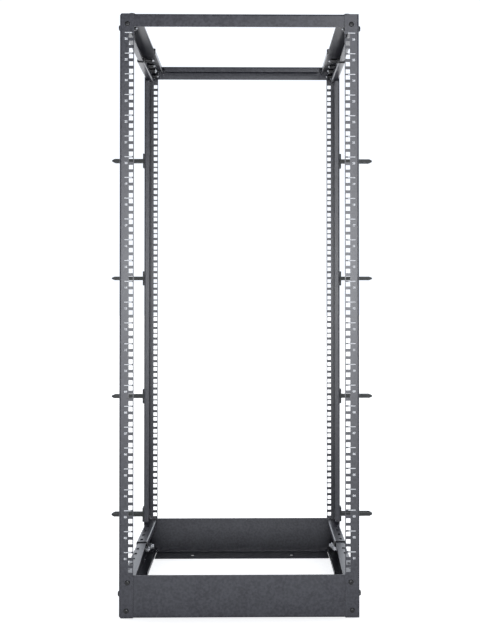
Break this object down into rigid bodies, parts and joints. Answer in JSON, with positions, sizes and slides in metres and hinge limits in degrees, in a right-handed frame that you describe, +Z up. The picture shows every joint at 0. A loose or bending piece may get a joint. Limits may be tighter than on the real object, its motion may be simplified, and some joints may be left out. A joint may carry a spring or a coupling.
{
  "type": "four post open frame rack",
  "caption": "Open equipment rack: folded steel posts with square holes, top beams, deep floor panels, telescoping side rails and cable rings.",
  "frame": {"origin": "on the floor at the middle of the base", "axes": "+Z up, front hole plane faces -Y, +X to the right when seen from the front"},
  "size_m": [0.6862, 0.6, 1.2921],
  "materials": {
    "frame_steel": "fine-textured dark grey powder coat",
    "ring_plastic": "semi-gloss black moulded plastic"
  },
  "bodies": {
    "root": {"front_left_post": "frame_steel", "front_right_post": "frame_steel", "rear_left_post": "frame_steel", "rear_right_post": "frame_steel", "bottom_front_panel": "frame_steel", "bottom_rear_panel": "frame_steel", "top_front_beam": "frame_steel", "top_rear_beam": "frame_steel", "bottom_left_rail_front": "frame_steel", "bottom_left_rail_rear": "frame_steel", "bottom_right_rail_front": "frame_steel", "bottom_right_rail_rear": "frame_steel", "top_left_rail_front": "frame_steel", "top_left_rail_rear": "frame_steel", "top_right_rail_front": "frame_steel", "top_right_rail_rear": "frame_steel", "cable_ring_left_1": "ring_plastic", "cable_ring_left_2": "ring_plastic", "cable_ring_left_3": "ring_plastic", "cable_ring_left_4": "ring_plastic", "cable_ring_right_1": "ring_plastic", "cable_ring_right_2": "ring_plastic", "cable_ring_right_3": "ring_plastic", "cable_ring_right_4": "ring_plastic"}
  },
  "joints": []
}
